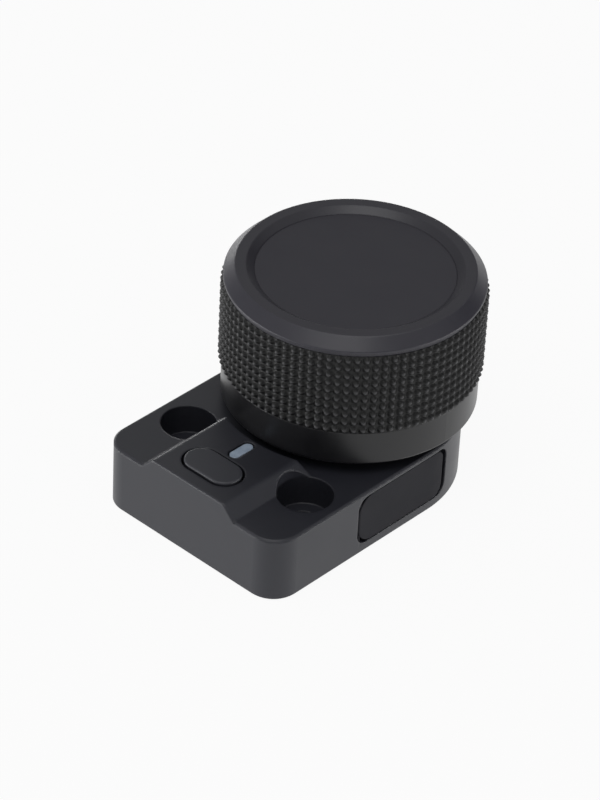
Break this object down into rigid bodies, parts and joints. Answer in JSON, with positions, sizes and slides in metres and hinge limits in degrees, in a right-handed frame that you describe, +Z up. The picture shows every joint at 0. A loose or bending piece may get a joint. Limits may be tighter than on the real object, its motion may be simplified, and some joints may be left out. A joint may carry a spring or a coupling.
{
  "type": "focus demand",
  "caption": "Compact hand wheel for remote lens focus: a knurled rotary knob on a bolt-on housing with a push button, status light and covered cable port.",
  "frame": {"origin": "on the wheel's axis, in the plane of the underside that seats on the support", "axes": "+Z up along the wheel's axis, -Y towards the front face with the button, +X towards the cable port"},
  "size_m": [0.04, 0.0545, 0.0351],
  "materials": {
    "housing_paint": "dark grey satin paint on a die-cast shell",
    "cover_plastic": "fine moulded texture",
    "wheel_metal": "black anodised, satin",
    "plate_metal": "black anodised, fine matt",
    "grip_rubber": "moulded nubs, matt",
    "button_plastic": "satin",
    "port_rubber": "soft matt",
    "clear_pipe": "milky clear",
    "emitter": "moulded",
    "black_plastic": "moulded",
    "chip": "moulded",
    "board": "solder mask",
    "gold_contacts": "plated",
    "socket_metal": "drawn and plated",
    "bearing_steel": "ground",
    "screw_steel": "blackened",
    "raw_aluminium": "as turned",
    "magnet": "plated"
  },
  "bodies": {
    "base": {"base_housing": "housing_paint", "bottom_cover": "cover_plastic", "cover_screws": "screw_steel", "main_board": "board", "board_screws": "screw_steel", "encoder_chip": "chip", "processor_chip": "chip", "contact_block": "black_plastic", "contact_pads": "gold_contacts", "usb_shell": "socket_metal", "usb_tongue": "black_plastic", "switch_body": "black_plastic", "status_led": "emitter", "light_pipe": "clear_pipe", "bearing_carrier": "raw_aluminium", "carrier_screws": "screw_steel", "upper_outer_race": "bearing_steel", "lower_outer_race": "bearing_steel"},
    "wheel": {"knob_core": "wheel_metal", "grip_ring": "grip_rubber", "top_bezel": "wheel_metal", "top_plate": "plate_metal", "bezel_screws": "screw_steel", "knob_screw": "screw_steel", "spindle": "bearing_steel", "upper_inner_race": "bearing_steel", "lower_inner_race": "bearing_steel", "preload_washer": "bearing_steel", "spindle_clip": "bearing_steel", "magnet_holder": "black_plastic", "encoder_magnet": "magnet"},
    "ball_sets": {"upper_balls": "bearing_steel", "lower_balls": "bearing_steel"},
    "button": {"function_button": "button_plastic", "switch_plunger": "black_plastic"},
    "port_flap": {"port_cover": "port_rubber"}
  },
  "joints": [
    {"name": "wheel_spin", "type": "hinge", "parent": "base", "child": "wheel", "pos_m": [0, 0, 0], "axis": [0, 0, 1], "continuous": true},
    {"name": "ball_orbit", "type": "hinge", "parent": "base", "child": "ball_sets", "pos_m": [0, 0, 0], "axis": [0, 0, 1], "continuous": true},
    {"name": "button_press", "type": "slide", "parent": "base", "child": "button", "axis": [0, 0, -1], "range_m": [0, 0.0004], "stiffness_N_per_m": 4000},
    {"name": "port_cover_open", "type": "hinge", "parent": "base", "child": "port_flap", "pos_m": [0.0176, -0.0162, 0.006], "axis": [0, 0, -1], "range_deg": [0, 100]}
  ],
  "couplings": [
    {"joint": "ball_orbit", "follows": "wheel_spin", "ratio": 0.38889}
  ]
}
